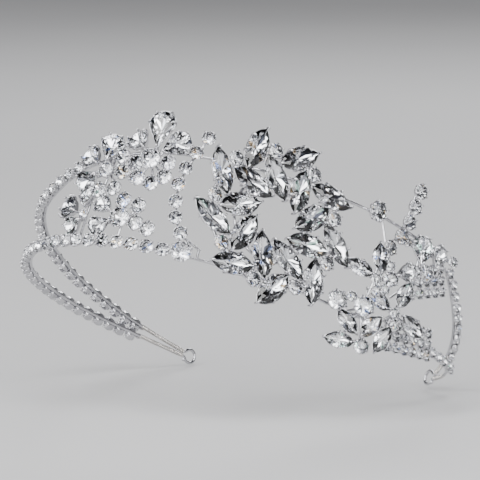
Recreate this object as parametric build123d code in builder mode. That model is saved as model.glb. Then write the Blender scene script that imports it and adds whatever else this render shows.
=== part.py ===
"""Side-accent crystal headband (bridal tiara).

Two round wires run side by side round a C-shaped plan, far apart over the
front and together at both ends, where each pair is bound with fine wire and
closes in a small round eye.  Claw-set stones ride on the outer side.

The band is laid out flat first: station s runs along the lower wire from the
left end to the right end with zero behind the wreath, z is the height above
the lower wire, and off is the distance outward.  The last step tilts the band
into the worn pose and puts the origin at the middle of the head opening.
"""

import math
import os

from build123d import *

os.makedirs("parts", exist_ok=True)

# ---- band ---------------------------------------------------------------
WIRE_D = 1.0  # both rails
BENDS = [  # lower rail from the left end to the right end: length, bend radius
    (36, 640),
    (35, 75),
    (50, 49),
    (40, 44),
    (50, 84),
    (30, 269),
    (25, 68),
    (23, 22),
]
LEFT_LENGTH = 186  # left end to the wreath
RISES = [  # height of the upper rail over the lower one: station, height
    (-186, 1.4),
    (-165, 3.5),
    (-145, 7.0),
    (-120, 11.5),
    (-98, 16.0),
    (-82, 18.5),
    (-60, 25.5),
    (-35, 31.0),
    (0, 33.0),
    (35, 33.5),
    (55, 32.0),
    (70, 28.5),
    (85, 15.0),
    (103, 1.4),
]
LEAN = 1 / 30  # the upper rail stands in by this share of its height
WORN_TILT = 28  # degrees, front up
HEAD_CENTRE = (-3.0, 56.0, 0.0)  # middle of the head opening, in the flat layout

# ---- ends ---------------------------------------------------------------
EYE_BORE = 3.4
EYE_WIRE = 1.0
EYE_LAND = 0.5  # flat cylindrical land worn inside the eye
BIND_WALL = 0.18  # fine binding wire wound on each rail end
BIND_LENGTH_LEFT = 19
BIND_LENGTH_RIGHT = 7

# ---- stones: length, width, crown, pavilion ------------------------------
CHAIN = (4.0, 4.0, 0.7, 1.3)
SMALL_CHAIN = (3.0, 3.0, 0.5, 1.0)
ROUND_45 = (4.5, 4.5, 0.8, 1.5)
ROUND_60 = (6.0, 6.0, 1.1, 2.0)
NAVETTE_15 = (15.0, 7.0, 1.2, 2.1)
NAVETTE_10 = (9.6, 4.8, 0.9, 1.6)
PEAR_13 = (12.6, 8.0, 1.2, 2.1)
PEAR_10 = (9.6, 7.0, 1.1, 1.9)
PEAR_8 = (8.0, 5.6, 0.9, 1.6)
TABLE = 0.58  # table over girdle
FIT_GAP = 0.05  # stone girdle to collet wall
COLLET_WALL = 0.2
COLLET_BASE = 0.3
CLAW_W = 0.8
CLAW_T = 0.4

# ---- wreath --------------------------------------------------------------
WREATH_STATION = 2.0
WREATH_HEIGHT = 18.0
WREATH_OFF = 5.2
WREATH_YAW = 11
WREATH_TILT = 7
UNITS = 9
PHASE = 140  # angle of the first unit
INNER_R, INNER_TURN = 13.0, 24
OUTER_R, OUTER_TURN, OUTER_LEAD = 22.3, -45, 18
ROUND_R = 21.6


# ---- layout maths --------------------------------------------------------
def plan_raw(distance):
    """x, y and heading of the lower rail, starting level at the left end."""
    x = y = heading = 0.0
    for length, radius in BENDS:
        run = min(distance, length)
        turn = run / radius
        x += radius * (math.sin(heading + turn) - math.sin(heading))
        y += radius * (math.cos(heading) - math.cos(heading + turn))
        heading += turn
        distance -= run
        if distance <= 0:
            break
    return x, y, heading


TOTAL = sum(length for length, _ in BENDS)
END_X, END_Y, _ = plan_raw(TOTAL)
CHORD = math.atan2(END_Y, END_X)


def plan(s):
    """x, y, heading with the two ends level and the front on the X axis."""
    x, y, heading = plan_raw(s + LEFT_LENGTH)
    x -= END_X / 2
    y -= END_Y / 2
    c, n = math.cos(-CHORD), math.sin(-CHORD)
    return c * x - n * y, n * x + c * y + END_SHIFT, heading - CHORD


END_SHIFT = 0.0
END_SHIFT = -min(plan(k)[1] for k in range(-LEFT_LENGTH, TOTAL - LEFT_LENGTH))


def rise(s):
    """Height of the upper rail: a smooth curve through RISES with no overshoot."""
    xs, hs = [p[0] for p in RISES], [p[1] for p in RISES]
    s = min(max(s, xs[0]), xs[-1])
    gaps = [b - a for a, b in zip(xs, xs[1:])]
    slopes = [(b - a) / g for a, b, g in zip(hs, hs[1:], gaps)]
    tangents = [slopes[0]]
    for i in range(1, len(slopes)):
        a, b = slopes[i - 1], slopes[i]
        w1, w2 = 2 * gaps[i] + gaps[i - 1], gaps[i] + 2 * gaps[i - 1]
        tangents.append((w1 + w2) / (w1 / a + w2 / b) if a * b > 0 else 0.0)
    tangents.append(slopes[-1])
    i = next(k for k in range(len(gaps)) if s <= xs[k + 1])
    t, g = (s - xs[i]) / gaps[i], gaps[i]
    return (
        hs[i] * (1 + 2 * t) * (1 - t) ** 2
        + tangents[i] * g * t * (1 - t) ** 2
        + hs[i + 1] * t * t * (3 - 2 * t)
        + tangents[i + 1] * g * t * t * (t - 1)
    )


def point(s, z, off):
    """A point of the flat layout."""
    x, y, heading = plan(s)
    out = off - z * LEAN
    return Vector(x + out * math.sin(heading), y - out * math.cos(heading), z)


def seat(s, z, off, yaw=0):
    """Frame on the band: x along the band, y up, z outward, turned by yaw."""
    heading = plan(s)[2]
    return Location(
        Plane(
            origin=point(s, z, off),
            x_dir=(math.cos(heading), math.sin(heading), 0),
            z_dir=(math.sin(heading), -math.cos(heading), 0),
        )
    ) * Location((0, 0, 0), (0, yaw, 0))


def turned(u, v, angle=0, pitch=0, roll=0, lift=0):
    """Place in a motif's own plane; pitch drops the outer end back."""
    return (
        Location((u, v, lift), (0, 0, angle))
        * Location((0, 0, 0), (0, pitch, 0))
        * Location((0, 0, 0), (roll, 0, 0))
    )


WORN = Location((0, 0, 0), (-WORN_TILT, 0, 0)) * Location(
    (-HEAD_CENTRE[0], -HEAD_CENTRE[1], -HEAD_CENTRE[2])
)


# ---- outlines ------------------------------------------------------------
def outline(kind, length, width, grow=0.0):
    """Girdle outline, grown outward by grow, tip of a pear towards -x."""
    a, b = length / 2 + grow, width / 2 + grow
    if kind == "round":
        sides = 8 if length > 3.5 else 6
        steps = [math.tau * (k + 0.5) / sides for k in range(sides)]
        return [(a * math.cos(t), a * math.sin(t)) for t in steps]
    if kind == "navette":
        big = (a * a + b * b) / (2 * b)
        reach = math.asin(a / big)
        top = [
            (big * math.sin(reach * t), big * math.cos(reach * t) - big + b)
            for t in (-1, -0.55, -0.18, 0.18, 0.55)
        ]
        return top + [(-x, -y) for x, y in top]
    far = 2 * a - b
    edge = math.degrees(math.acos(b / far))
    points = [(-far, 0)]
    for k in range(8):
        angle = math.radians(-180 + edge + k * (360 - 2 * edge) / 7)
        points.append((b * math.cos(angle), b * math.sin(angle)))
    return [(x + a - b, y) for x, y in points]


def scaled(points, share):
    return [(x * share, y * share) for x, y in points]


def rim(kind, length, width):
    """Claw places round a collet: x, y and outward direction in degrees."""
    a, b = length / 2, width / 2
    if kind == "round":
        return [(a * math.cos(t), a * math.sin(t), math.degrees(t)) for t in FOUR]
    if kind == "navette":
        return [(-a, 0, 180), (a, 0, 0), (0, b, 90), (0, -b, -90)]
    places = [(-a, 0, 180)]
    for t in (-62, 62):
        angle = math.radians(t)
        places.append((a - b + b * math.cos(angle), b * math.sin(angle), t))
    return places


FOUR = [math.pi / 4 + k * math.pi / 2 for k in range(4)]


# ---- one stone and one collet of each cut ---------------------------------
def gem(kind, size):
    length, width, crown, pavilion = size
    girdle = outline(kind, length, width)
    with BuildPart() as stone:
        for level, share in ((crown, TABLE), (-pavilion, 0.3)):
            with BuildSketch(Plane.XY):
                Polygon(*girdle, align=None)
            with BuildSketch(Plane.XY.offset(level)):
                Polygon(*scaled(girdle, share), align=None)
            loft(ruled=True)
    return stone.part.solid()


def collet(kind, size):
    """Claw collet: flared wall, closed back and claws bent over the crown."""
    length, width, crown, pavilion = size
    floor, lip = -pavilion - 0.1, 0.1
    with BuildPart() as cup:
        if kind == "round":
            outside, inside = length / 2 + FIT_GAP + COLLET_WALL, length / 2 + FIT_GAP
            with BuildSketch(Plane.XZ):
                Polygon(
                    (0, floor - COLLET_BASE),
                    (outside * 0.72, floor - COLLET_BASE),
                    (outside, lip),
                    (inside, lip),
                    (inside * 0.66, floor),
                    (0, floor),
                    align=None,
                )
            revolve(axis=Axis.Z)
        else:
            wall = outline(kind, length, width, FIT_GAP + COLLET_WALL)
            room = outline(kind, length, width, FIT_GAP)
            with BuildSketch(Plane.XY.offset(floor - COLLET_BASE)):
                Polygon(*scaled(wall, 0.72), align=None)
            with BuildSketch(Plane.XY.offset(lip)):
                Polygon(*wall, align=None)
            loft(ruled=True)
            with BuildSketch(Plane.XY.offset(floor)):
                Polygon(*scaled(room, 0.66), align=None)
            with BuildSketch(Plane.XY.offset(lip)):
                Polygon(*room, align=None)
            loft(ruled=True, mode=Mode.SUBTRACT)
        for x, y, facing in rim(kind, length, width):
            turn = math.radians(facing)
            side = Plane(
                origin=(x, y, 0),
                x_dir=(math.cos(turn), math.sin(turn), 0),
                z_dir=(math.sin(turn), -math.cos(turn), 0),
            )
            with BuildSketch(side):
                Polygon(
                    (FIT_GAP + 0.05, -0.5),
                    (FIT_GAP + CLAW_T, -0.5),
                    (FIT_GAP + CLAW_T * 0.7, crown + 0.12),
                    (-0.5, crown + 0.12),
                    (FIT_GAP + 0.02, 0.12),
                    align=None,
                )
            extrude(amount=CLAW_W / 2, both=True)
    return cup.part.solid()


def depth(size):
    """Girdle height over the back of the collet."""
    return size[3] + 0.1 + COLLET_BASE


CUTS = {
    "chain": ("round", CHAIN),
    "small": ("round", SMALL_CHAIN),
    "r45": ("round", ROUND_45),
    "r60": ("round", ROUND_60),
    "n15": ("navette", NAVETTE_15),
    "n10": ("navette", NAVETTE_10),
    "p13": ("pear", PEAR_13),
    "p10": ("pear", PEAR_10),
    "p8": ("pear", PEAR_8),
}
GEMS = {name: gem(*cut) for name, cut in CUTS.items()}
COLLETS = {name: collet(*cut) for name, cut in CUTS.items()}


def save(builder, name):
    """Tilt into the worn pose and write the node."""
    builder.part.locate(WORN * builder.part.location)
    builder.part.label = name
    export_step(builder.part, f"parts/{name}.step")


def set_row(name, places):
    """Write the collets and stones of one group; places are (cut, location)."""
    for suffix, shapes in (("collets", COLLETS), ("stones", GEMS)):
        with BuildPart() as group:
            for cut in sorted({cut for cut, _ in places}):
                with Locations(*[place for other, place in places if other == cut]):
                    add(shapes[cut], clean=False)
        save(group, f"{name}_{suffix}")


# ---- rails ---------------------------------------------------------------
RIGHT_LENGTH = TOTAL - LEFT_LENGTH


def rounded_path(points):
    """Straight runs with a tangent arc at each corner, as large as the runs allow."""
    radii = []
    for before, here, after in zip(points, points[1:], points[2:]):
        a, b = here - before, after - here
        half = math.radians(a.get_angle(b)) / 2
        radii.append(0.45 * min(a.length, b.length) / math.tan(half))
    return FilletPolyline(*points, radius=radii)


def upper_points(start, stop, count):
    steps = [start + (stop - start) * k / (count - 1) for k in range(count)]
    return [point(s, rise(s), 0) for s in steps]


def lower_arcs(start, stop):
    """The lower rail between two stations, as its true arcs."""
    here, arc = -LEFT_LENGTH, None
    for length, radius in BENDS:
        low, high = max(here, start), min(here + length, stop)
        if high - low > 0.01:
            heading = plan(low)[2]
            arc = JernArc(
                start=point(low, 0, 0) if arc is None else arc @ 1,
                tangent=(math.cos(heading), math.sin(heading)) if arc is None else arc % 1,
                radius=radius,
                arc_size=math.degrees((high - low) / radius),
            )
        here += length


with BuildPart() as rail_lower:
    with BuildLine() as run:
        lower_arcs(-LEFT_LENGTH, RIGHT_LENGTH)
    with BuildSketch(Plane(origin=run.line @ 0, z_dir=run.line % 0)):
        Circle(WIRE_D / 2)
    sweep()
save(rail_lower, "rail_lower")

with BuildPart() as rail_upper:
    with BuildLine() as run:
        rounded_path(upper_points(-LEFT_LENGTH, RIGHT_LENGTH, 34))
    with BuildSketch(Plane(origin=run.line @ 0, z_dir=run.line % 0)):
        Circle(WIRE_D / 2)
    sweep()
save(rail_upper, "rail_upper")

# ---- bound ends and eyes --------------------------------------------------
for side, start, stop in (
    ("left", -LEFT_LENGTH + 0.3, -LEFT_LENGTH + BIND_LENGTH_LEFT),
    ("right", RIGHT_LENGTH - BIND_LENGTH_RIGHT, RIGHT_LENGTH - 0.3),
):
    with BuildPart() as binding:
        for upper in (False, True):
            with BuildLine() as run:
                if upper:
                    rounded_path(upper_points(start, stop, 5))
                else:
                    lower_arcs(start, stop)
            with BuildSketch(Plane(origin=run.line @ 0, z_dir=run.line % 0)):
                Circle(WIRE_D / 2 + BIND_WALL)
                Circle(WIRE_D / 2 + 0.01, mode=Mode.SUBTRACT)
            sweep()
    save(binding, f"binding_{side}")

    s = -LEFT_LENGTH if side == "left" else RIGHT_LENGTH
    away = -1 if side == "left" else 1
    heading = plan(s)[2]
    reach = EYE_BORE / 2 + EYE_WIRE + 0.1
    middle = point(s, 0.7, 0) + Vector(math.cos(heading), math.sin(heading), 0) * away * reach
    ring = Plane(
        origin=middle,
        x_dir=(math.cos(heading), math.sin(heading), 0),
        z_dir=(math.sin(heading), -math.cos(heading), 0),
    )
    side_view = Plane(origin=middle, x_dir=ring.x_dir, z_dir=ring.y_dir * -1)
    with BuildPart() as eye:
        with BuildSketch(side_view) as profile:
            with Locations((EYE_BORE / 2 + EYE_WIRE / 2, 0)):
                Circle(EYE_WIRE / 2)
            with Locations((EYE_BORE / 2 + EYE_WIRE / 2 - 0.15, 0)):
                Rectangle(0.7, EYE_LAND)
        revolve(axis=Axis(middle, ring.z_dir))
        with BuildSketch(ring.offset(0)) as stub:
            with Locations((-away * (EYE_BORE / 2 + 0.35), -EYE_BORE / 2 - 0.1)):
                Circle(EYE_WIRE / 2)
        extrude(amount=EYE_WIRE / 2, both=True)
    save(eye, f"eye_{side}")
    if side == "left":
        EYE_LEFT = (WORN * Location(middle)).position
    else:
        EYE_RIGHT = (WORN * Location(middle)).position

# ---- claw-set chains along the rails ----------------------------------------
OFF_CHAIN = WIRE_D / 2 + depth(CHAIN) + 0.01


def slope(s):
    return math.degrees(math.atan2(rise(s + 1) - rise(s - 1), 2))


set_row(
    "chain_lower_left",
    [("chain", seat(-28.0 - 4.7 * k, 0, OFF_CHAIN)) for k in range(30)],
)
set_row(
    "chain_upper_left",
    [
        ("chain", seat(s, rise(s), OFF_CHAIN) * turned(0, 0, slope(s)))
        for s in (-64.0 - 4.6 * k for k in range(23))
    ],
)
OFF_SMALL = WIRE_D / 2 + depth(SMALL_CHAIN) + 0.01
SMALL_STEP = 3.8
right_run, s = [], 73.0
while s < 96:
    right_run.append(("small", seat(s, rise(s), OFF_SMALL) * turned(0, 0, slope(s))))
    s += SMALL_STEP * math.cos(math.radians(slope(s)))
set_row("chain_upper_right", right_run)
set_row(
    "chain_lower_right",
    [("small", seat(71.5 + SMALL_STEP * k, 0, OFF_SMALL)) for k in range(5)],
)

# ---- curved bracket chains each side of the wreath ----------------------------
BRACKET_WIRE = 0.8
BRACKET_LEFT = [
    (-22.5, 37.5),
    (-25, 32),
    (-27, 26.5),
    (-28, 21),
    (-27.5, 15.5),
    (-26.5, 10.5),
    (-24, 6),
]
BRACKET_RIGHT = [(51, 45.5), (50, 40), (49, 34.5), (47, 29), (43.5, 24)]
for side, cut, stations, foot, off in (
    ("left", "chain", BRACKET_LEFT, (-17, 2.5), 3.2),
    ("right", "r45", BRACKET_RIGHT, (39, 19.5), 3.4),
):
    set_row(f"bracket_{side}", [(cut, seat(s, z, off)) for s, z in stations])
    back = off - depth(CUTS[cut][1]) - BRACKET_WIRE / 2
    with BuildPart() as stem:
        with BuildLine() as run:
            rounded_path([point(s, z, back) for s, z in [*stations, foot]])
        with BuildSketch(Plane(origin=run.line @ 0, z_dir=run.line % 0)):
            Circle(BRACKET_WIRE / 2)
        sweep()
    save(stem, f"bracket_{side}_wire")

# ---- large round stones on the rails --------------------------------------------
OFF_60 = WIRE_D / 2 + depth(ROUND_60) + 0.01
set_row(
    "rail_rounds",
    [
        ("r60", seat(-22.5, 0.5, OFF_60)),
        ("r60", seat(36.5, rise(36.5), OFF_60)),
        ("r60", seat(27.5, 1.0, OFF_60 + 1.2, -15)),
    ],
)

# ---- wreath ----------------------------------------------------------------------
WREATH = (
    seat(WREATH_STATION, WREATH_HEIGHT, WREATH_OFF)
    * Location((0, 0, 0), (0, WREATH_YAW, 0))
    * Location((0, 0, 0), (-WREATH_TILT, 0, 0))
)
inner, outer, rounds = [], [], []
for k in range(UNITS):
    a = PHASE - k * 360 / UNITS
    c, n = math.cos(math.radians(a)), math.sin(math.radians(a))
    inner.append(("n15", WREATH * turned(INNER_R * c, INNER_R * n, a + 180 + INNER_TURN)))
    rounds.append(("r45", WREATH * turned(ROUND_R * c, ROUND_R * n, a, lift=-0.4)))
    b = a + OUTER_LEAD
    c, n = math.cos(math.radians(b)), math.sin(math.radians(b))
    place = turned(OUTER_R * c, OUTER_R * n, b + 180 + OUTER_TURN, lift=-0.3)
    outer.append(("n15", WREATH * place))
set_row("wreath_inner", inner)
set_row("wreath_outer", outer)
set_row("wreath_round", rounds)

BACK_WIRE = 1.0
OUTER_RING_R = ROUND_R - 0.6
back = -depth(NAVETTE_15) - BACK_WIRE / 2 - 0.32
with BuildPart() as wreath_rings:
    for radius in (INNER_R, OUTER_RING_R):
        with BuildSketch(Plane.XZ) as section:
            with Locations((radius, back)):
                Circle(BACK_WIRE / 2)
        revolve(axis=Axis.Z)
    for k in range(UNITS):
        a = math.radians(PHASE - k * 360 / UNITS)
        c, n = math.cos(a), math.sin(a)
        with BuildSketch(Plane(origin=(INNER_R * c, INNER_R * n, back), z_dir=(c, n, 0))):
            Circle(BACK_WIRE / 2 - 0.1)
        extrude(amount=OUTER_RING_R - INNER_R)
wreath_rings.part.locate(WREATH)
save(wreath_rings, "wreath_rings")

# ---- flowers ---------------------------------------------------------------------
# Each stone: cut, across, up, angle of its outer end, pitch back, roll, lift.
FLOWER_A = [
    ("r60", 0, 0, 0, 0, 0, 0.6),
    ("p13", 1.2, 9.8, 94, 8, 0, 0),
    ("p10", -5.2, 5.4, 140, 34, 0, -0.6),
    ("p10", 7.2, 5.6, 38, 12, 34, 0),
    ("r45", -4.6, -1.6, 0, 0, 0, -0.8),
    ("r45", 5.8, -0.4, 0, 0, 0, -0.2),
    ("r45", -3.0, -6.2, 0, 8, 0, -0.6),
    ("r45", 1.8, -7.4, 0, 0, 0, -0.4),
    ("r45", 5.4, -4.9, 0, 0, 0, -0.4),
]
FLOWER_B = [
    ("r45", 0, -0.4, 0, 0, 0, 0.8),
    ("p10", -6.9, 3.6, 149, 24, 0, 0),
    ("p10", -0.6, 7.3, 92, 18, 26, -0.3),
    ("p10", -6.7, -3.9, 207, 26, -24, -0.5),
    ("r45", 4.0, 4.6, 0, 0, 0, -0.6),
    ("r45", 5.6, -0.6, 0, 0, 0, -0.2),
    ("r45", 3.6, -5.8, 0, 0, 0, -0.5),
    ("r45", -1.7, -6.6, 0, 0, 0, -0.6),
]
FLOWER_C = [
    ("small", 3.4, -1.6, 0, 0, 0, 0.4),
    ("p10", -3.6, 1.0, 158, 20, 0, 0),
    ("p8", 2.4, 4.4, 112, 26, 0, -0.3),
    ("p8", -1.0, -4.6, 200, 18, -20, -0.5),
]
FLOWER_D = [
    ("r60", 1.6, -0.8, 0, 0, 0, 0.5),
    ("p8", -4.8, 2.8, 150, 20, 0, 0),
    ("p8", -4.8, -3.6, 202, 14, -24, -0.4),
    ("r45", 1.2, 5.2, 0, 0, 0, -0.5),
    ("r45", 6.6, 3.6, 0, 0, 0, -0.3),
    ("r45", 6.9, -1.8, 0, 0, 0, -0.3),
    ("r45", 11.5, -3.4, 0, 0, 0, -0.2),
]
SPRAY_E = [
    ("small", -0.2, 0.8, 0, 0, 0, 0.5),
    ("small", 0.6, -2.6, 0, 0, 0, 0.1),
    ("small", 3.2, -1.6, 0, 0, 0, 0.1),
    ("n10", -0.2, 7.8, 102, 8, 0, 0),
    ("n10", -5.9, 2.9, 164, 8, 0, 0),
    ("r45", 4.4, 2.0, 0, 0, 0, 0.4),
    ("small", 3.4, 6.2, 0, 0, 0, -0.4),
    ("p8", 9.0, 5.6, 32, 24, 20, -0.4),
]
SPRAY_F = [
    ("small", 0.4, 0.9, 0, 0, 0, 0.5),
    ("small", 1.4, -2.4, 0, 0, 0, 0.2),
    ("n10", 2.4, 7.4, 74, 10, 0, 0.2),
    ("n10", -5.4, 3.7, 150, 6, 0, -0.2),
    ("n10", -1.4, -8.2, 252, 8, 0, -0.2),
    ("n10", 7.2, -1.4, -26, 14, 0, -0.2),
]
SPRAY_G = [
    ("r60", 0.6, 5.6, 0, 0, 0, 0.4),
    ("small", -3.6, 7.8, 0, 0, 0, -0.4),
    ("n10", -3.4, -0.4, 138, 4, 0, 0),
    ("n10", 4.2, 0.2, 56, 4, 0, 0),
    ("n10", -4.6, -6.6, 184, 8, 0, -0.4),
    ("r45", 2.6, -6.6, 0, 0, 0, -0.2),
]
SPRAY_R = [
    ("p10", -2.4, 3.4, 94, 10, 0, 0),
    ("p8", 3.8, 3.2, 76, 12, 20, -0.2),
    ("small", -7.8, 4.4, 0, 0, 0, -0.4),
    ("small", 8.8, 3.4, 0, 0, 0, -0.6),
    ("small", -2.6, -3.6, 0, 0, 0, 0.2),
    ("small", 1.2, -3.2, 0, 0, 0, 0.1),
]
MOTIFS = [  # name, station, height, off, yaw, stones, tie point on a rail or wire
    ("flower_a", -37.5, 27.0, 4.4, 0, FLOWER_A, (-37.0, None)),
    ("flower_b", -50.0, 22.5, 4.4, 0, FLOWER_B, (-51.0, None)),
    ("flower_c", -57.0, 9.0, 4.2, 0, FLOWER_C, (-57.0, 0)),
    ("flower_d", -43.5, 8.0, 4.2, 0, FLOWER_D, (-43.0, 0)),
    ("spray_e", 38.2, 10.7, 6.4, -22, SPRAY_E, (39.0, 0)),
    ("spray_f", 46.6, 2.6, 6.8, -22, SPRAY_F, (46.5, 0)),
    ("spray_g", 35.0, -4.0, 6.2, -22, SPRAY_G, (34.0, 0)),
    ("spray_r", 57.0, 24.0, 5.6, -18, SPRAY_R, (57.5, None)),
]
SPIDER_WIRE = 0.8
HUB_DROP = 0.1  # hub below the back of the middle collet
SOLDER = 0.15  # depth that a stem runs into the collet it carries


def rod(a, b, radius):
    """A short round tie wire between two points, added to the open part."""
    with Locations(Location(Plane(origin=a, z_dir=b - a))):
        Cylinder(radius, (b - a).length, align=(Align.CENTER, Align.CENTER, Align.MIN))


for name, s, z, off, yaw, stones, tie in MOTIFS:
    frame = seat(s, z, off, yaw)
    set_row(name, [(cut, frame * turned(*place)) for cut, *place in stones])
    hub_cut, hub_u, hub_v = stones[0][:3]
    hub = (frame * Location((hub_u, hub_v, -depth(CUTS[hub_cut][1]) - HUB_DROP))).position
    with BuildPart() as spider:
        for cut, *place in stones[1:]:
            under = Location((0, 0, -depth(CUTS[cut][1]) - SPIDER_WIRE / 2 + SOLDER))
            rod(hub, (frame * turned(*place) * under).position, SPIDER_WIRE / 2)
        height = rise(tie[0]) if tie[1] is None else tie[1]
        rod(hub, point(tie[0], height, 0), SPIDER_WIRE / 2)
    save(spider, f"{name}_stems")

# ---- three-row bands at the right -------------------------------------------------
SMALL_PITCH = 3.55
BAND_BEND = 68  # bend radius of the bands, along their length
for name, s, z, angle, columns in (
    ("band_upper", 61.0, 19.5, 24, 5),
    ("band_lower", 58.5, -0.6, 10, 6),
):
    frame = seat(s, z, OFF_SMALL + 0.9) * turned(0, 0, angle)
    places = []
    for column in range(columns):
        for row in range(3):
            u, v = (column - (columns - 1) / 2) * SMALL_PITCH, (row - 1) * SMALL_PITCH
            drop = -u * u / (2 * BAND_BEND)
            lean = math.degrees(u / BAND_BEND)
            places.append(("small", frame * turned(u, v, pitch=lean, lift=drop)))
    set_row(name, places)

# Each tie runs from the first point to the second: station, height, off.
TIES = [
    ((54.0, 15.0, 0.9), (47.5, 9.0, 2.6)),
    ((67.5, 22.6, 0.9), (70.5, rise(70.5), 0)),
    ((58.0, 2.0, 0.9), (58.0, 0, 0)),
    ((43.5, 24.0, 1.0), (40.0, rise(40.0), 0)),
    ((-17.5, 3.0, 1.0), (-17.5, 0, 0)),
]
with BuildPart() as tie_wires:
    for first, second in TIES:
        rod(point(*first), point(*second), SPIDER_WIRE / 2)
save(tie_wires, "tie_wires")

PAD_D, PAD_H = 1.8, 0.7
with BuildPart() as end_pads:
    for s, z in ((-167.6, rise(-167.6)), (-167.0, 0)):
        with Locations(seat(s, z, (WIRE_D + PAD_H) / 2)):
            Cylinder(radius=PAD_D / 2, height=PAD_H)
save(end_pads, "end_pads")

print("eye centres", EYE_LEFT, EYE_RIGHT)
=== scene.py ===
"""Looks of the side-accent crystal headband: cut stones, claw settings, bound wire ends.

Lengths are in millimetres until a mesh is made.  The band's layout is the same as
in the CAD model, and every stone's place is read from its CAD solid.
"""

import math
import random

import bmesh
import bpy
from mathutils import Matrix, Vector


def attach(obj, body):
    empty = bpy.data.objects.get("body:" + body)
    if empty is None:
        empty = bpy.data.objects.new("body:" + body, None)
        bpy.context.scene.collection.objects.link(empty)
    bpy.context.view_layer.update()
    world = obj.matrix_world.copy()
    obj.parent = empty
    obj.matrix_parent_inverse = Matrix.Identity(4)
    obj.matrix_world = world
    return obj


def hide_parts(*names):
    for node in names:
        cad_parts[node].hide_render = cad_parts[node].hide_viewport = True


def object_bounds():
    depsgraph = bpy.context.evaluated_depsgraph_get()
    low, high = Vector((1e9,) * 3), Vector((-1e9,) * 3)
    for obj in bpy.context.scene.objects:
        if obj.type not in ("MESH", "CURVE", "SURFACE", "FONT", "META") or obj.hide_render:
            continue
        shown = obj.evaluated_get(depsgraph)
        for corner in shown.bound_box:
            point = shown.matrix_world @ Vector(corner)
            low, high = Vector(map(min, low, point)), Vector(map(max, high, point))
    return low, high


MM = 0.001

# ---- band layout, as in the CAD model ------------------------------------------------
WIRE_D = 1.0
BENDS = [(36, 640), (35, 75), (50, 49), (40, 44), (50, 84), (30, 269), (25, 68), (23, 22)]
LEFT_LENGTH = 186
TOTAL = sum(length for length, _ in BENDS)
RIGHT_LENGTH = TOTAL - LEFT_LENGTH
RISES = [
    (-186, 1.4),
    (-165, 3.5),
    (-145, 7.0),
    (-120, 11.5),
    (-98, 16.0),
    (-82, 18.5),
    (-60, 25.5),
    (-35, 31.0),
    (0, 33.0),
    (35, 33.5),
    (55, 32.0),
    (70, 28.5),
    (85, 15.0),
    (103, 1.4),
]
LEAN = 1 / 30
WORN = Matrix.Rotation(math.radians(-28), 4, "X") @ Matrix.Translation((3.0, -56.0, 0.0))
UP = Vector((0, math.sin(math.radians(28)), math.cos(math.radians(28))))
EYE_BORE, EYE_WIRE = 3.4, 1.0
BIND_LENGTH = {"left": 19, "right": 7}

# ---- stones: outline, length, width, crown, pavilion, claws, claw wire ---------------
CUTS = [
    ("round", 4.0, 4.0, 0.7, 1.3, 4, 0.27),
    ("round", 3.0, 3.0, 0.5, 1.0, 4, 0.22),
    ("round", 4.5, 4.5, 0.8, 1.5, 6, 0.27),
    ("round", 6.0, 6.0, 1.1, 2.0, 8, 0.32),
    ("navette", 15.0, 7.0, 1.2, 2.1, 6, 0.36),
    ("navette", 9.6, 4.8, 0.9, 1.6, 4, 0.3),
    ("pear", 12.6, 8.0, 1.2, 2.1, 5, 0.36),
    ("pear", 9.6, 7.0, 1.1, 1.9, 5, 0.34),
    ("pear", 8.0, 5.6, 0.9, 1.6, 5, 0.3),
]
TABLE = 0.56
GIRDLE = 0.12  # half height of a stone's edge
WALL_GAP, WALL, FLOOR = 0.05, 0.22, 0.3

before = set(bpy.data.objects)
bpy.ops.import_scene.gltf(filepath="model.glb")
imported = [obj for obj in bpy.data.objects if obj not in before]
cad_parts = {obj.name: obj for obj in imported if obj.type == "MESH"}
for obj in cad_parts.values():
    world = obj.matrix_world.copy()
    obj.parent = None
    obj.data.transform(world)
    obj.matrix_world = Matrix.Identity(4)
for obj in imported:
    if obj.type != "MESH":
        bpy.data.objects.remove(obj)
cad_low, cad_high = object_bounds()


# ---- camera --------------------------------------------------------------------------
def camera():
    data = bpy.data.cameras.new("camera")
    data.sensor_width = 36.0
    data.lens = 286.0
    data.clip_end = 50.0
    eye = bpy.data.objects.new("camera", data)
    right = Vector((0.8744, 0.4853, -0.0035))
    up = Vector((-0.0656, 0.1253, 0.9900))
    back = Vector((0.4809, -0.8654, 0.1414))
    turn = Matrix((right, up, back)).transposed().to_4x4()
    eye.matrix_world = Matrix.Translation(Vector((575.6, -1025.9, 189.8)) * MM) @ turn
    bpy.context.collection.objects.link(eye)
    bpy.context.scene.camera = eye


camera()


# ---- layout maths --------------------------------------------------------------------
def plan_raw(distance):
    x = y = heading = 0.0
    for length, radius in BENDS:
        run = min(distance, length)
        turn = run / radius
        x += radius * (math.sin(heading + turn) - math.sin(heading))
        y += radius * (math.cos(heading) - math.cos(heading + turn))
        heading += turn
        distance -= run
        if distance <= 0:
            break
    return x, y, heading


END_X, END_Y, _ = plan_raw(TOTAL)
CHORD = math.atan2(END_Y, END_X)
END_SHIFT = 0.0


def plan(s):
    x, y, heading = plan_raw(s + LEFT_LENGTH)
    x, y = x - END_X / 2, y - END_Y / 2
    c, n = math.cos(-CHORD), math.sin(-CHORD)
    return c * x - n * y, n * x + c * y + END_SHIFT, heading - CHORD


END_SHIFT = -min(plan(k)[1] for k in range(-LEFT_LENGTH, RIGHT_LENGTH))


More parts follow.
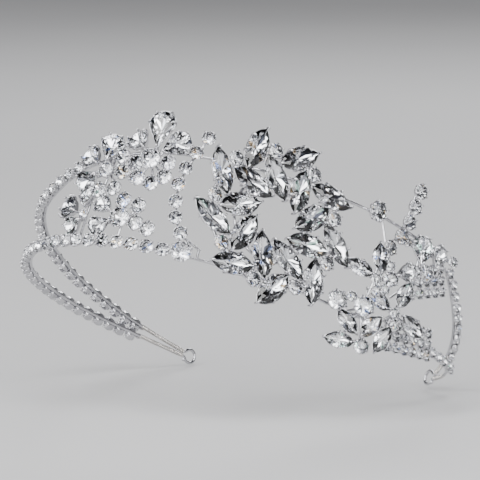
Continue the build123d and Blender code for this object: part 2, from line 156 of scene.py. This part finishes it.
def rise(s):
    xs, hs = [p[0] for p in RISES], [p[1] for p in RISES]
    s = min(max(s, xs[0]), xs[-1])
    gaps = [b - a for a, b in zip(xs, xs[1:])]
    slopes = [(b - a) / g for a, b, g in zip(hs, hs[1:], gaps)]
    tangents = [slopes[0]]
    for i in range(1, len(slopes)):
        a, b = slopes[i - 1], slopes[i]
        w1, w2 = 2 * gaps[i] + gaps[i - 1], gaps[i] + 2 * gaps[i - 1]
        tangents.append((w1 + w2) / (w1 / a + w2 / b) if a * b > 0 else 0.0)
    tangents.append(slopes[-1])
    i = next(k for k in range(len(gaps)) if s <= xs[k + 1])
    t, g = (s - xs[i]) / gaps[i], gaps[i]
    return (
        hs[i] * (1 + 2 * t) * (1 - t) ** 2
        + tangents[i] * g * t * (1 - t) ** 2
        + hs[i + 1] * t * t * (3 - 2 * t)
        + tangents[i + 1] * g * t * t * (t - 1)
    )


def point(s, z, off=0.0):
    """A point of the worn band: station, height over the lower wire, distance outward."""
    x, y, heading = plan(s)
    out = off - z * LEAN
    return WORN @ Vector((x + out * math.sin(heading), y - out * math.cos(heading), z))


# ---- mesh helpers --------------------------------------------------------------------
class Shape:
    """Vertices and faces in millimetres, with a material index, smoothness and a per-face value that picks
    a painted reflection tone on the foil.
    """

    def __init__(self):
        self.verts, self.faces, self.mats, self.smooth, self.painted_reflections = [], [], [], [], []

    def add(self, verts, faces, mat=0, smooth=True):
        base = len(self.verts)
        self.verts += [Vector(v) for v in verts]
        for face in faces:
            self.faces.append([base + i for i in face])
            self.mats.append(mat)
            self.smooth.append(smooth)
            self.painted_reflections.append(0.5)

    def join(self, other, place, painted_reflections=None):
        base = len(self.verts)
        self.verts += [place @ v for v in other.verts]
        self.faces += [[base + i for i in face] for face in other.faces]
        self.mats += other.mats
        self.smooth += other.smooth
        self.painted_reflections += painted_reflections or other.painted_reflections


def piece(name, shape, materials, slot, *nodes):
    """Make the object, in metres, in place of its CAD nodes."""
    mesh = bpy.data.meshes.new(name)
    mesh.from_pydata([v * MM for v in shape.verts], [], shape.faces)
    for material in materials:
        mesh.materials.append(material)
    mesh.polygons.foreach_set("material_index", shape.mats)
    mesh.polygons.foreach_set("use_smooth", shape.smooth)
    # per-face value that picks each foil facet's painted reflection tone or painted glint
    painted_reflection = mesh.attributes.new("painted_reflection", "FLOAT", "FACE")
    painted_reflection.data.foreach_set("value", shape.painted_reflections)
    outward = bmesh.new()
    outward.from_mesh(mesh)
    bmesh.ops.recalc_face_normals(outward, faces=outward.faces)
    outward.to_mesh(mesh)
    outward.free()
    body = bpy.data.objects.new(name, mesh)
    bpy.context.collection.objects.link(body)
    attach(body, "root")
    if nodes:
        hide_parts(*nodes)
    return body


def frames_along(points):
    """A frame at each point of a path, turned as little as possible."""
    frames, side = [], None
    for i, here in enumerate(points):
        ahead = points[min(i + 1, len(points) - 1)] - points[max(i - 1, 0)]
        ahead.normalize()
        if side is None:
            side = ahead.orthogonal()
        side = (side - ahead * side.dot(ahead)).normalized()
        frames.append((here, side, ahead.cross(side)))
    return frames


def tube(shape, points, radii, sides=8, dome=True, mat=0):
    """A round wire along a path, closed by a small dome at each end."""
    if not isinstance(radii, list):
        radii = [radii] * len(points)
    frames = frames_along(points)
    rings = [(here, a, b, r) for (here, a, b), r in zip(frames, radii)]
    if dome:
        for last, at in ((False, 0), (True, -1)):
            here, a, b, r = rings[at]
            ahead = a.cross(b) * (1 if last else -1)
            caps = [(here + ahead * r * k, a, b, r * f) for k, f in ((0.55, 0.83), (0.9, 0.35))]
            rings = rings + caps if last else caps[::-1] + rings
    verts = []
    for here, a, b, r in rings:
        for k in range(sides):
            t = math.tau * k / sides
            verts.append(here + a * (r * math.cos(t)) + b * (r * math.sin(t)))
    faces = []
    for i in range(len(rings) - 1):
        for k in range(sides):
            n = (k + 1) % sides
            faces.append([i * sides + k, i * sides + n, (i + 1) * sides + n, (i + 1) * sides + k])
    faces.append(list(range(sides))[::-1])
    faces.append([(len(rings) - 1) * sides + k for k in range(sides)])
    shape.add(verts, faces, mat)


def ball(shape, centre, radius, mat=0):
    """A small solder ball."""
    rows, sides = 6, 10
    verts = [centre + Vector((0, 0, radius))]
    for i in range(1, rows):
        a = math.pi * i / rows
        for k in range(sides):
            t = math.tau * k / sides
            out = Vector((math.sin(a) * math.cos(t), math.sin(a) * math.sin(t), math.cos(a)))
            verts.append(centre + out * radius)
    verts.append(centre - Vector((0, 0, radius)))
    faces = [[0, 1 + k, 1 + (k + 1) % sides] for k in range(sides)]
    for i in range(rows - 2):
        for k in range(sides):
            a, b = 1 + i * sides, 1 + (i + 1) * sides
            faces.append([a + k, b + k, b + (k + 1) % sides, a + (k + 1) % sides])
    last = 1 + (rows - 2) * sides
    faces += [[last + k, len(verts) - 1, last + (k + 1) % sides] for k in range(sides)]
    shape.add(verts, faces, mat)


# ---- outlines ------------------------------------------------------------------------
def outline(kind, length, width, share):
    """Point of the girdle at a share of the way round, from -x by -y; tip of a pear at -x."""
    a, b = length / 2, width / 2
    if kind == "round":
        t = math.tau * share - math.pi
        return Vector((a * math.cos(t), a * math.sin(t), 0))
    if kind == "navette":
        big = (a * a + b * b) / (2 * b)
        reach = math.asin(a / big)
        t = (share * 4 - 1) * reach if share < 0.5 else (3 - share * 4) * reach
        side = -1 if share < 0.5 else 1
        return Vector((big * math.sin(t), side * (big * math.cos(t) - big + b), 0))
    far = 2 * a - b
    edge = math.acos(b / far)
    flank = math.sqrt(far * far - b * b)
    arc = b * (math.tau - 2 * edge)
    walk = share * (2 * flank + arc)
    if walk > flank + arc:
        mirrored = outline(kind, length, width, 1 - share)
        return Vector((mirrored.x, -mirrored.y, 0))
    if walk < flank:
        touch = Vector((-b * math.cos(edge), -b * math.sin(edge), 0))
        tip = Vector((-far, 0, 0))
        return tip.lerp(touch, walk / flank) + Vector((a - b, 0, 0))
    t = -math.pi + edge + (walk - flank) / b
    return Vector((b * math.cos(t) + a - b, b * math.sin(t), 0))


def ring(cut, count, grow=0.0, share=1.0, z=0.0, start=0.0):
    kind, length, width = cut[:3]
    points = []
    for k in range(count):
        p = outline(kind, length + 2 * grow, width + 2 * grow, ((k + start) / count) % 1.0)
        points.append(Vector((p.x * share, p.y * share, z)))
    return points


# ---- stones --------------------------------------------------------------------------
def gem(cut):
    """Brilliant cut: table, stars, kites and halves over a foiled pavilion whose facets carry painted
    reflections.
    """
    crown, pavilion = cut[3], cut[4]
    edge, mid, n = ring(cut, 16, z=GIRDLE), ring(cut, 16), 16
    verts = [p * TABLE for p in mid[::2]]
    verts = [Vector((p.x, p.y, crown)) for p in verts]
    verts += [Vector((p.x * 0.8, p.y * 0.8, crown * 0.66)) for p in mid[1::2]]
    verts += edge + [Vector((p.x, p.y, -GIRDLE)) for p in edge]
    verts += [Vector((p.x * 0.42, p.y * 0.42, -pavilion * 0.66)) for p in mid[1::2]]
    verts += [Vector((0, 0, -pavilion))]
    t, m, g, h, low, tip = 0, 8, 16, 32, 48, 56
    glass, painted_reflection_foil = [list(range(8))], []
    for i in range(8):
        before, after = (i - 1) % 8, (i + 1) % 8
        glass.append([t + i, m + i, t + after])
        glass.append([t + i, m + before, g + 2 * i, m + i])
        glass.append([m + i, g + 2 * i, g + 2 * i + 1])
        glass.append([m + i, g + 2 * i + 1, g + (2 * i + 2) % n])
        painted_reflection_foil.append([tip, low + i, h + 2 * i, low + before])
        painted_reflection_foil.append([low + i, h + 2 * i + 1, h + 2 * i])
        painted_reflection_foil.append([low + i, h + (2 * i + 2) % n, h + 2 * i + 1])
    for j in range(n):
        glass.append([g + j, h + j, h + (j + 1) % n, g + (j + 1) % n])
    stone = Shape()
    stone.add(verts, glass + painted_reflection_foil, 0, False)
    stone.mats = [0] * len(glass) + [1] * len(painted_reflection_foil)
    return stone


def claw_places(cut):
    """Shares of the way round where a claw stands."""
    kind, count = cut[0], cut[5]
    if kind == "round":
        return [(k + 0.5) / count for k in range(count)]
    if kind == "navette":
        return [0, 0.5, 0.25, 0.75] if count == 4 else [0, 0.5, 0.17, 0.33, 0.67, 0.83]
    return [0, 0.3, 0.42, 0.58, 0.7]


def setting(cut):
    """Cup with a scalloped lip, a rounded back and claws bent over the crown."""
    kind, length, width, crown, pavilion, claws, wire = cut
    cup, count = Shape(), 32
    bottom = -pavilion - 0.1 - FLOOR
    dips = claw_places(cut)

    def lip(k):
        """The lip stands high at a claw and dips between claws."""
        gap = min(min(abs(k / count - d), 1 - abs(k / count - d)) for d in dips)
        return -0.3 * min(1.0, gap * 2.2 * claws) ** 2

    levels = [(0.16, bottom), (0.55, bottom + 0.04), (0.7, bottom + 0.16), (0.78, bottom * 0.72)]
    levels += [(0.8, bottom * 0.62), (0.9, bottom * 0.4), (0.97, bottom * 0.14), (1.0, 0.02)]
    verts, faces = [], []
    outer = WALL_GAP + WALL
    for share, z in levels:
        verts += ring(cut, count, outer, share, z)
    inside = [(1.0, WALL_GAP + 0.06, 0.08), (1.0, WALL_GAP, 0.0), (0.94, WALL_GAP, -0.22 * pavilion)]
    inside += [(0.6, 0.0, -0.7 * pavilion), (0.12, 0.0, -pavilion - 0.05)]
    for share, grow, z in inside:
        verts += ring(cut, count, grow, share, z)
    rows = len(levels) + len(inside)
    top = len(levels) - 1
    for row in (top, top + 1, top + 2):
        for k in range(count):
            verts[row * count + k].z += lip(k)
    for row in range(rows - 1):
        for k in range(count):
            n = (k + 1) % count
            a, b = row * count, (row + 1) * count
            faces.append([a + k, a + n, b + n, b + k])
    faces.append(list(range(count)))
    faces.append([(rows - 1) * count + k for k in range(count)])
    cup.add(verts, faces)
    bend = [(-0.3, -0.62), (-0.02, -0.3), (0.12, 0.0), (0.1, 0.4), (-0.12, 0.92), (-0.5, 1.12)]
    for share in dips:
        out = outline(kind, length, width, share)
        facing = out.normalized()
        if kind != "round":
            ahead = outline(kind, length, width, (share + 0.01) % 1)
            behind = outline(kind, length, width, (share - 0.01) % 1)
            along = (ahead - behind).normalized()
            facing = Vector((along.y, -along.x, 0))
        route = []
        for reach, z in bend:
            height = z * crown if z > 0 else z * -bottom
            away = reach * min(1.0, width / 4) + outer * 0.5
            route.append(out + facing * away + Vector((0, 0, height)))
        radii = [wire * f for f in (0.85, 0.95, 1.05, 1.0, 0.92, 0.8)]
        tube(cup, route, radii, 7)
    return cup


# ---- where each stone sits, read from the CAD solids ---------------------------------
def islands(node):
    """The separate solids of a CAD node: points, and each face's normal, area and centre."""
    mesh = bmesh.new()
    mesh.from_mesh(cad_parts[node].data)
    bmesh.ops.remove_doubles(mesh, verts=mesh.verts, dist=1e-6)
    mesh.verts.index_update()
    mesh.faces.index_update()
    seen, found = set(), []
    for start in mesh.verts:
        if start in seen:
            continue
        stack, verts = [start], set()
        while stack:
            vert = stack.pop()
            if vert in verts:
                continue
            verts.add(vert)
            stack += [edge.other_vert(vert) for edge in vert.link_edges]
        seen |= verts
        faces = {face for vert in verts for face in vert.link_faces}
        faces = sorted(faces, key=lambda face: face.index)
        points = [vert.co / MM for vert in sorted(verts, key=lambda vert: vert.index)]
        sides = [(f.normal.copy(), f.calc_area(), f.calc_center_median() / MM) for f in faces]
        found.append((points, sides))
    mesh.free()
    return found


def seats(node):
    """Cut and place of each stone: x along it (tip of a pear at -x), z outward, girdle at zero."""
    places = []
    for points, faces in islands(node):
        planes = {}
        for normal, area, centre in faces:
            key = tuple(round(c, 2) for c in normal)
            total, spot, lean = planes.get(key, (0.0, Vector(), Vector()))
            planes[key] = (total + area, spot + centre * area, lean + normal * area)
        area, spot, lean = max(planes.values(), key=lambda plane: plane[0])
        out, top = lean.normalized(), spot / area
        depth = max(out.dot(top - p) for p in points)
        middle = sum(points, Vector()) / len(points)
        arms = [p - middle - out * out.dot(p - middle) for p in points]
        far = max(arm.length for arm in arms)
        tips = [arm for arm in arms if arm.length > 0.97 * far]
        # a pear has one tip; a navette has two, and the leftmost is taken
        side = -min(tips, key=lambda arm: arm.x) if len(tips) <= 2 else UP.cross(out)
        side = (side - out * side.dot(out)).normalized()
        across = out.cross(side)
        us, vs = [side.dot(p) for p in points], [across.dot(p) for p in points]
        long, wide = max(us) - min(us), max(vs) - min(vs)
        misfits = [
            abs(c[1] - long) + abs(c[2] - wide) + abs(c[3] + c[4] - depth) * 2 for c in CUTS
        ]
        cut = CUTS[misfits.index(min(misfits))]
        centre = side * (max(us) + min(us)) / 2 + across * (max(vs) + min(vs)) / 2
        origin = centre + out * (out.dot(top) - cut[3])
        turn = Matrix((side, across, out)).transposed().to_4x4()
        places.append((cut, Matrix.Translation(origin) @ turn))
    return places


# ---- materials -----------------------------------------------------------------------
def node_material(name):
    material = bpy.data.materials.new(name)
    material.use_nodes = True
    nodes = material.node_tree.nodes
    place = nodes.new("ShaderNodeTexCoord")
    return material, nodes, material.node_tree.links.new, nodes["Principled BSDF"], place.outputs["Object"]


def noise(nodes, link, place, scale, detail=4.0):
    made = nodes.new("ShaderNodeTexNoise")
    made.inputs["Scale"].default_value = scale
    made.inputs["Detail"].default_value = detail
    link(place, made.inputs["Vector"])
    return made.outputs["Fac"]


def ramp(nodes, link, value, stops, sharp=False):
    made = nodes.new("ShaderNodeValToRGB")
    colours = made.color_ramp
    colours.interpolation = "CONSTANT" if sharp else "LINEAR"
    while len(colours.elements) < len(stops):
        colours.elements.new(0.5)
    for element, (position, colour) in zip(colours.elements, stops):
        element.position = position
        element.color = (*colour, 1.0)
    link(value, made.inputs["Fac"])
    return made.outputs["Color"]


def spread(nodes, link, value, low, high):
    made = nodes.new("ShaderNodeMapRange")
    made.inputs["From Min"].default_value = 0.3
    made.inputs["From Max"].default_value = 0.7
    made.inputs["To Min"].default_value = low
    made.inputs["To Max"].default_value = high
    link(value, made.inputs["Value"])
    return made.outputs["Result"]


def bumped(nodes, link, height, strength, distance, shader):
    made = nodes.new("ShaderNodeBump")
    made.inputs["Strength"].default_value = strength
    made.inputs["Distance"].default_value = distance
    link(height, made.inputs["Height"])
    link(made.outputs["Normal"], shader.inputs["Normal"])


def plated(name, dark, light, low, high):
    """Polished plate: soft drifts of tone, fine polishing marks and a worn-in roughness."""
    material, nodes, link, shader, place = node_material(name)
    shader.inputs["Metallic"].default_value = 1.0
    drift = noise(nodes, link, place, 260.0)
    link(ramp(nodes, link, drift, [(0.3, dark), (0.7, light)]), shader.inputs["Base Color"])
    marks = noise(nodes, link, place, 2600.0, 6.0)
    link(spread(nodes, link, marks, low, high), shader.inputs["Roughness"])
    bumped(nodes, link, marks, 0.12, 0.00004, shader)
    return material


def crystal():
    """Clear cut glass, very slightly uneven in polish."""
    material, nodes, link, shader, place = node_material("crystal")
    shader.inputs["Transmission Weight"].default_value = 1.0
    shader.inputs["IOR"].default_value = 1.56
    drift = noise(nodes, link, place, 700.0)
    tones = [(0.3, (0.93, 0.95, 0.98)), (0.7, (1.0, 1.0, 1.0))]
    link(ramp(nodes, link, drift, tones), shader.inputs["Base Color"])
    link(spread(nodes, link, drift, 0.0, 0.012), shader.inputs["Roughness"])
    return material


def painted_reflection_foil():
    """Silvered back facets with painted reflections: each facet has a fixed painted tone from near-black
    to white in place of reflected surroundings, and a few have a painted glint of colour for fire.
    """
    material, nodes, link, shader, place = node_material("painted_reflection_foil")
    shader.inputs["Metallic"].default_value = 1.0
    painted_reflection = nodes.new("ShaderNodeAttribute")
    painted_reflection.attribute_name = "painted_reflection"
    # painted reflections and glints: the per-face value picks near-black, grey or white in place of
    # reflected light, and the last stops paint flashes of blue, orange and green fire
    tones = [
        (0.0, (0.03, 0.032, 0.04)),
        (0.07, (0.4, 0.41, 0.44)),
        (0.15, (0.9, 0.91, 0.93)),
        (0.35, (0.99, 0.99, 1.0)),
        (0.965, (0.5, 0.62, 1.0)),
        (0.98, (1.0, 0.78, 0.52)),
        (0.992, (0.7, 0.95, 0.85)),
    ]
    link(ramp(nodes, link, painted_reflection.outputs["Fac"], tones, True), shader.inputs["Base Color"])
    drift = noise(nodes, link, place, 900.0)
    link(spread(nodes, link, drift, 0.02, 0.09), shader.inputs["Roughness"])
    return material


def floor_material():
    material, nodes, link, shader, place = node_material("pale_floor")
    drift = noise(nodes, link, place, 3.0)
    tones = [(0.3, (0.44, 0.44, 0.45)), (0.7, (0.47, 0.47, 0.475))]
    link(ramp(nodes, link, drift, tones), shader.inputs["Base Color"])
    shader.inputs["Roughness"].default_value = 0.7
    return material


RHODIUM = plated("rhodium", (0.5, 0.5, 0.52), (0.7, 0.7, 0.72), 0.06, 0.17)
BOUND = plated("binding_wire", (0.6, 0.58, 0.56), (0.76, 0.74, 0.71), 0.14, 0.3)
CRYSTAL = crystal()
# foil material with painted reflections and painted glints on the back facets
PAINTED_REFLECTION_FOIL = painted_reflection_foil()

# ---- stones and settings -------------------------------------------------------------
GEMS = {cut: gem(cut) for cut in CUTS}
SETTINGS = {cut: setting(cut) for cut in CUTS}
chance = random.Random(11)
for node in sorted(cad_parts):
    if not node.endswith("_stones"):
        continue
    group = node.removesuffix("_stones")
    stones, cups = Shape(), Shape()
    for cut, place in seats(node):
        gem_shape = GEMS[cut]
        # a random value per stone facet picks its painted reflection tone or painted glint of colour
        stones.join(gem_shape, place, [chance.random() for _ in gem_shape.faces])
        cups.join(SETTINGS[cut], place)
    piece(f"{group}_cut_stones", stones, [CRYSTAL, PAINTED_REFLECTION_FOIL], "crystal", node)
    piece(f"{group}_settings", cups, [RHODIUM], "rhodium", f"{group}_collets")

# ---- wires ---------------------------------------------------------------------------
RAIL_STEPS = 220
for name, height in (("rail_lower", lambda s: 0.0), ("rail_upper", rise)):
    rail = Shape()
    stations = [-LEFT_LENGTH + TOTAL * k / (RAIL_STEPS - 1) for k in range(RAIL_STEPS)]
    tube(rail, [point(s, height(s)) for s in stations], WIRE_D / 2, 12)
    piece(f"{name}_wire", rail, [RHODIUM], "rhodium", name)

COIL_WIRE, COIL_PITCH, COIL_STEPS = 0.105, 0.225, 8
for side in ("left", "right"):
    away = -1 if side == "left" else 1
    end = -LEFT_LENGTH if side == "left" else RIGHT_LENGTH
    coil = Shape()
    for height in (lambda s: 0.0, rise):
        length = BIND_LENGTH[side]
        count = int(length / COIL_PITCH * COIL_STEPS)
        runs = [length * k / count for k in range(count)]
        path = [point(end - away * (0.2 + run), height(end - away * run)) for run in runs]
        route = []
        for k, (here, a, b) in enumerate(frames_along(path)):
            t = math.tau * k / COIL_STEPS + 0.25 * math.sin(k * 0.11)
            r = WIRE_D / 2 + COIL_WIRE * 0.9 + 0.012 * math.sin(k * 0.37)
            route.append(here + a * (r * math.cos(t)) + b * (r * math.sin(t)))
        tube(coil, route, COIL_WIRE, 6)
    piece(f"binding_{side}_coil", coil, [BOUND], "binding_wire", f"binding_{side}")

    eye = Shape()
    base = point(end, 0.0)
    ahead = (base - point(end - away * 0.5, 0.0)).normalized()
    rise_dir = (point(end, 1.0) - base).normalized()
    reach, middle, radius = EYE_BORE / 2 + EYE_WIRE + 0.1, 0.7, (EYE_BORE + EYE_WIRE) / 2
    flat = [(-0.8, 1.4), (-0.2, 1.42), (0.35, 1.55)]
    for k in range(21):
        t = math.radians(150 - 15 * k)
        flat.append((reach + radius * math.cos(t), middle + radius * math.sin(t)))
    flat += [(0.35, -0.15), (-0.2, -0.02), (-0.8, 0.0)]
    tube(eye, [base + ahead * u + rise_dir * v for u, v in flat], EYE_WIRE / 2, 12)
    inward, down = reach - EYE_BORE / 2 - 0.35, middle - EYE_BORE / 2 - 0.1
    ball(eye, base + ahead * inward + rise_dir * down, 0.62)
    piece(f"eye_{side}_ring", eye, [RHODIUM], "rhodium", f"eye_{side}")

for name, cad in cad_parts.items():
    if cad.hide_render:
        continue
    cad.data.materials.clear()
    cad.data.materials.append(RHODIUM)

# ---- floor, light and world ----------------------------------------------------------
FLOOR_HALF = 6.0
flat = bpy.data.meshes.new("floor")
low = cad_low[2] - 0.0006
corners = [(x * FLOOR_HALF, y * FLOOR_HALF) for x, y in ((-1, -1), (1, -1), (1, 1), (-1, 1))]
flat.from_pydata([(x, y, low) for x, y in corners], [], [(0, 1, 2, 3)])
flat.materials.append(floor_material())
ground = bpy.data.objects.new("floor", flat)
bpy.context.collection.objects.link(ground)


def softbox(name, where, size, power, colour=(1.0, 1.0, 1.0)):
    data = bpy.data.lights.new(name, "AREA")
    data.shape = "RECTANGLE"
    data.size, data.size_y = size
    data.energy = power
    data.color = colour
    lamp = bpy.data.objects.new(name, data)
    lamp.location = where
    lamp.rotation_euler = (-Vector(where)).to_track_quat("-Z", "Y").to_euler()
    bpy.context.collection.objects.link(lamp)


softbox("key", (-0.15, -1.0, 0.5), (0.9, 0.7), 15.0)
softbox("side", (0.95, -0.5, 0.35), (0.6, 0.8), 12.0)
softbox("left", (-1.0, -0.5, 0.3), (0.5, 0.7), 5.0)
softbox("top", (0.35, -0.55, 1.1), (0.9, 0.5), 12.0)
softbox("back", (-0.3, 1.0, 0.7), (0.8, 0.4), 8.0)

sun = bpy.data.lights.new("sun", "SUN")
sun.energy = 1.3
sun.angle = 0.35
day = bpy.data.objects.new("sun", sun)
day.rotation_euler = (math.radians(28), math.radians(-22), 0)
bpy.context.collection.objects.link(day)

world = bpy.data.worlds.new("studio")
bpy.context.scene.world = world
world.use_nodes = True
sky = world.node_tree.nodes
join = world.node_tree.links.new
spot = sky.new("ShaderNodeTexCoord")
split = sky.new("ShaderNodeSeparateXYZ")
join(spot.outputs["Generated"], split.inputs["Vector"])
shades = sky.new("ShaderNodeValToRGB")
shades.color_ramp.elements[0].position = 0.3
shades.color_ramp.elements[0].color = (0.27, 0.27, 0.28, 1.0)
shades.color_ramp.elements[1].position = 0.85
shades.color_ramp.elements[1].color = (0.05, 0.05, 0.055, 1.0)
join(split.outputs["Z"], shades.inputs["Fac"])
join(shades.outputs["Color"], sky["Background"].inputs["Color"])
